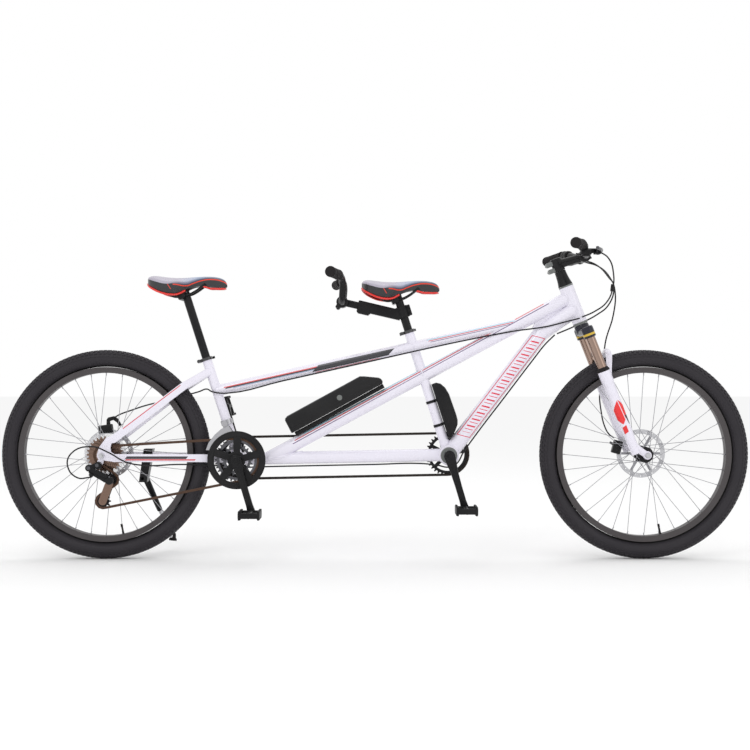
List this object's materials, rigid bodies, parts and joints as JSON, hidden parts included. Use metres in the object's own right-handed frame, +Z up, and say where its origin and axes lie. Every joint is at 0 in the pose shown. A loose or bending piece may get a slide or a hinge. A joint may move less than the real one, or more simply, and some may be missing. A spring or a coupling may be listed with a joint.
{
  "type": "tandem bicycle",
  "caption": "Tandem bicycle with a white open-frame, suspension fork, disc brakes, linked cranks, battery on the frame and adjustable seats.",
  "frame": {"origin": "on the ground, midway between the two wheel axles", "axes": "+X towards the front wheel, +Y to the riders' left, +Z up"},
  "size_m": [2.4374, 0.6438, 1.0238],
  "materials": {
    "white_paint": "gloss",
    "bare_metal": "brushed",
    "black_metal": "satin",
    "bronze_tube": "polished",
    "cable_housing": "satin",
    "black_plastic": "matt",
    "bar_and_grip": "matt",
    "lever_metal": "satin",
    "rubber_tyre": "matt",
    "dark_rim": "satin",
    "spoke_steel": "polished",
    "bronze_sprocket": "oiled",
    "dark_chain": "oiled",
    "ring_metal": "satin",
    "pedal_plastic": "matt",
    "saddle_cover": "satin"
  },
  "bodies": {
    "frame": {"head_tube": "white_paint", "down_tube": "white_paint", "top_tubes": "white_paint", "diagonal_tubes": "white_paint", "boom_tube": "white_paint", "seat_tubes": "white_paint", "bottom_bracket_shells": "white_paint", "bearing_cups": "bare_metal", "rear_stays": "white_paint", "dropouts": "white_paint", "front_derailleur": "bare_metal", "rear_brake_caliper": "black_metal", "frame_cables": "cable_housing", "controller_box": "black_plastic", "battery_rail": "black_plastic", "rear_axle": "bare_metal", "timing_chain": "dark_chain", "drive_chain": "dark_chain", "kickstand_bracket": "black_metal", "rear_derailleur": "black_metal"},
    "battery": {"battery": "black_plastic"},
    "steering": {"fork_crown": "black_metal", "fork_stanchions": "bronze_tube", "captain_stem": "black_metal", "captain_handlebar": "bar_and_grip", "captain_controls": "black_plastic", "steering_cables": "cable_housing"},
    "brake_lever_right": {"brake_lever_right": "lever_metal"},
    "brake_lever_left": {"brake_lever_left": "lever_metal"},
    "fork_slider": {"fork_lowers": "white_paint", "front_brake_caliper": "black_metal"},
    "front_wheel": {"front_tyre": "rubber_tyre", "front_rim": "dark_rim", "front_spokes": "spoke_steel", "front_hub": "black_metal"},
    "rear_wheel": {"rear_tyre": "rubber_tyre", "rear_rim": "dark_rim", "rear_spokes": "spoke_steel", "rear_hub": "black_metal"},
    "freewheel": {"freewheel": "bronze_sprocket"},
    "captain_cranks": {"captain_crankset": "black_metal"},
    "stoker_cranks": {"stoker_crankset": "black_metal", "stoker_chainrings": "ring_metal"},
    "captain_pedal_right": {"captain_pedal_right": "pedal_plastic"},
    "captain_pedal_left": {"captain_pedal_left": "pedal_plastic"},
    "stoker_pedal_right": {"stoker_pedal_right": "pedal_plastic"},
    "stoker_pedal_left": {"stoker_pedal_left": "pedal_plastic"},
    "derailleur_cage": {"derailleur_cage": "bronze_sprocket"},
    "guide_wheel": {"guide_wheel": "black_plastic"},
    "tension_wheel": {"tension_wheel": "black_plastic"},
    "captain_post": {"captain_seatpost": "black_metal", "captain_saddle": "saddle_cover", "stoker_stem": "black_metal"},
    "stoker_slider": {"stoker_stem_slider": "black_metal", "stoker_handlebar": "bar_and_grip"},
    "stoker_post": {"stoker_seatpost": "black_metal", "stoker_saddle": "saddle_cover"},
    "captain_clamp_lever": {"captain_clamp_lever": "black_metal"},
    "stoker_clamp_lever": {"stoker_clamp_lever": "black_metal"},
    "kickstand": {"kickstand_leg": "black_metal"}
  },
  "joints": [
    {"name": "steering", "type": "hinge", "parent": "frame", "child": "steering", "pos_m": [0.67009, 0, 0.77291], "axis": [-0.3665, 0, 0.9304], "range_deg": [-60, 60], "deforming": ["steering_cables"]},
    {"name": "fork_travel", "type": "slide", "parent": "steering", "child": "fork_slider", "axis": [-0.3665, 0, 0.9304], "range_m": [0, 0.045], "stiffness_N_per_m": 9000, "springref_m": -0.02},
    {"name": "front_wheel_spin", "type": "hinge", "parent": "fork_slider", "child": "front_wheel", "pos_m": [0.87784, 0, 0.341], "axis": [0, 1, 0], "continuous": true},
    {"name": "rear_wheel_spin", "type": "hinge", "parent": "frame", "child": "rear_wheel", "pos_m": [-0.87784, 0, 0.341], "axis": [0, 1, 0], "continuous": true},
    {"name": "stoker_crank_spin", "type": "hinge", "parent": "frame", "child": "stoker_cranks", "pos_m": [-0.44584, 0, 0.326], "axis": [0, 1, 0], "continuous": true},
    {"name": "captain_crank_spin", "type": "hinge", "parent": "frame", "child": "captain_cranks", "pos_m": [0.23984, 0, 0.339], "axis": [0, 1, 0], "continuous": true},
    {"name": "freewheel_spin", "type": "hinge", "parent": "frame", "child": "freewheel", "pos_m": [-0.87784, -0.052, 0.341], "axis": [0, 1, 0], "continuous": true},
    {"name": "derailleur_cage_pivot", "type": "hinge", "parent": "frame", "child": "derailleur_cage", "pos_m": [-0.85184, -0.052, 0.262], "axis": [0, 1, 0], "range_deg": [-18, 20], "stiffness_Nm_per_rad": 3, "deforming": ["drive_chain"]},
    {"name": "guide_wheel_spin", "type": "hinge", "parent": "derailleur_cage", "child": "guide_wheel", "pos_m": [-0.85184, -0.052, 0.262], "axis": [0, 1, 0], "continuous": true},
    {"name": "tension_wheel_spin", "type": "hinge", "parent": "derailleur_cage", "child": "tension_wheel", "pos_m": [-0.87784, -0.052, 0.193], "axis": [0, 1, 0], "continuous": true},
    {"name": "captain_pedal_right_spin", "type": "hinge", "parent": "captain_cranks", "child": "captain_pedal_right", "pos_m": [0.28954, -0.11, 0.17121], "axis": [0, 1, 0], "continuous": true},
    {"name": "captain_pedal_left_spin", "type": "hinge", "parent": "captain_cranks", "child": "captain_pedal_left", "pos_m": [0.19014, 0.11, 0.50679], "axis": [0, 1, 0], "continuous": true},
    {"name": "stoker_pedal_right_spin", "type": "hinge", "parent": "stoker_cranks", "child": "stoker_pedal_right", "pos_m": [-0.39614, -0.11, 0.15821], "axis": [0, 1, 0], "continuous": true},
    {"name": "stoker_pedal_left_spin", "type": "hinge", "parent": "stoker_cranks", "child": "stoker_pedal_left", "pos_m": [-0.49554, 0.11, 0.49379], "axis": [0, 1, 0], "continuous": true},
    {"name": "brake_lever_left_pull", "type": "hinge", "parent": "steering", "child": "brake_lever_left", "pos_m": [0.69836, 0.168, 0.98733], "axis": [0, 0, 1], "range_deg": [0, 13], "stiffness_Nm_per_rad": 2, "springref_deg": -11.46},
    {"name": "brake_lever_right_pull", "type": "hinge", "parent": "steering", "child": "brake_lever_right", "pos_m": [0.69836, -0.168, 0.98733], "axis": [0, 0, -1], "range_deg": [0, 13], "stiffness_Nm_per_rad": 2, "springref_deg": -11.46},
    {"name": "captain_post_height", "type": "slide", "parent": "frame", "child": "captain_post", "axis": [-0.3057, 0, 0.9521], "range_m": [-0.015, 0.06]},
    {"name": "stoker_stem_reach", "type": "slide", "parent": "captain_post", "child": "stoker_slider", "axis": [-0.9751, 0, 0.2215], "range_m": [-0.015, 0.04]},
    {"name": "stoker_post_height", "type": "slide", "parent": "frame", "child": "stoker_post", "axis": [-0.3057, 0, 0.9521], "range_m": [-0.1, 0.06]},
    {"name": "captain_clamp_open", "type": "hinge", "parent": "frame", "child": "captain_clamp_lever", "pos_m": [0.08682, 0.016, 0.73414], "axis": [-0.3057, 0, 0.9521], "range_deg": [0, 100]},
    {"name": "stoker_clamp_open", "type": "hinge", "parent": "frame", "child": "stoker_clamp_lever", "pos_m": [-0.57409, 0.016, 0.64402], "axis": [-0.3057, 0, 0.9521], "range_deg": [0, 100]},
    {"name": "battery_removal", "type": "slide", "parent": "frame", "child": "battery", "axis": [0.8768, 0, 0.4808], "range_m": [0, 0.05]},
    {"name": "kickstand_fold", "type": "hinge", "parent": "frame", "child": "kickstand", "pos_m": [-0.76884, 0.084, 0.2575], "axis": [0, 1, 0], "range_deg": [0, 110]}
  ],
  "couplings": [
    {"joint": "captain_crank_spin", "follows": "stoker_crank_spin", "ratio": 1},
    {"joint": "freewheel_spin", "follows": "stoker_crank_spin", "ratio": 2.4286},
    {"joint": "guide_wheel_spin", "follows": "stoker_crank_spin", "ratio": -3.0909},
    {"joint": "tension_wheel_spin", "follows": "stoker_crank_spin", "ratio": 3.0909}
  ]
}
